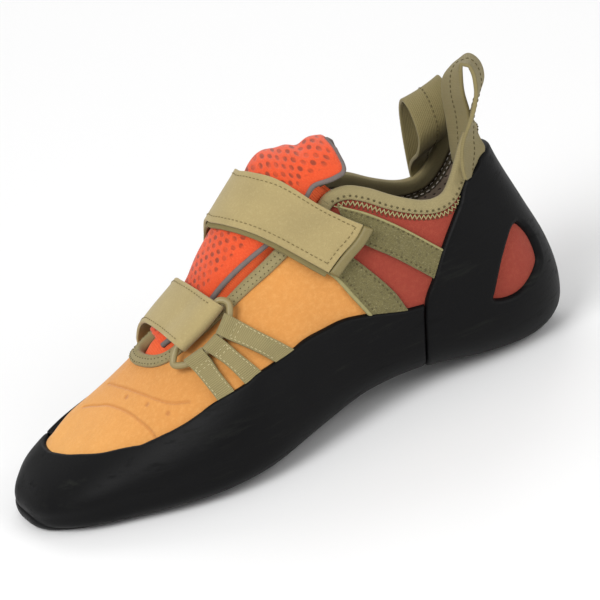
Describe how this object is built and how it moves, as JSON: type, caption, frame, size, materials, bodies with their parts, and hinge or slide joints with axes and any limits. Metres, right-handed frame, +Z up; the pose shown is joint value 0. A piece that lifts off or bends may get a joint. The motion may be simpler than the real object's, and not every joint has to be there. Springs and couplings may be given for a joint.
{
  "type": "climbing shoe",
  "caption": "Low climbing shoe, left, with a rubber rand and heel band, suede upper, mesh tongue, two closing straps, a ring on webbing strips and heel pull loops.",
  "frame": {"origin": "middle of the footprint box, on the floor", "axes": "+X to the toe, +Y to the outer side, +Z up"},
  "size_m": [0.2396, 0.0868, 0.1286],
  "materials": {
    "sole": "matte",
    "rubber": "matte",
    "suede": "napped",
    "tape": "matte",
    "board": "matte",
    "mesh": "matte",
    "strap": "napped",
    "tab": "matte",
    "ring": "satin",
    "webbing": "woven",
    "patch": "napped"
  },
  "bodies": {
    "root": {"outsole": "sole", "rand": "rubber", "heel_band": "rubber", "upper": "suede", "collar_binding": "tape", "throat_binding": "tape", "insole": "board", "tongue": "mesh", "strap_instep": "strap", "strap_instep_under": "strap", "strap_tab": "tab", "strap_front": "strap", "ring": "ring", "webbing_1": "webbing", "webbing_2": "webbing", "webbing_3": "webbing", "patch_upper": "patch", "patch_lower": "patch", "pull_loop_outer": "webbing", "pull_loop_inner": "webbing"}
  },
  "joints": []
}
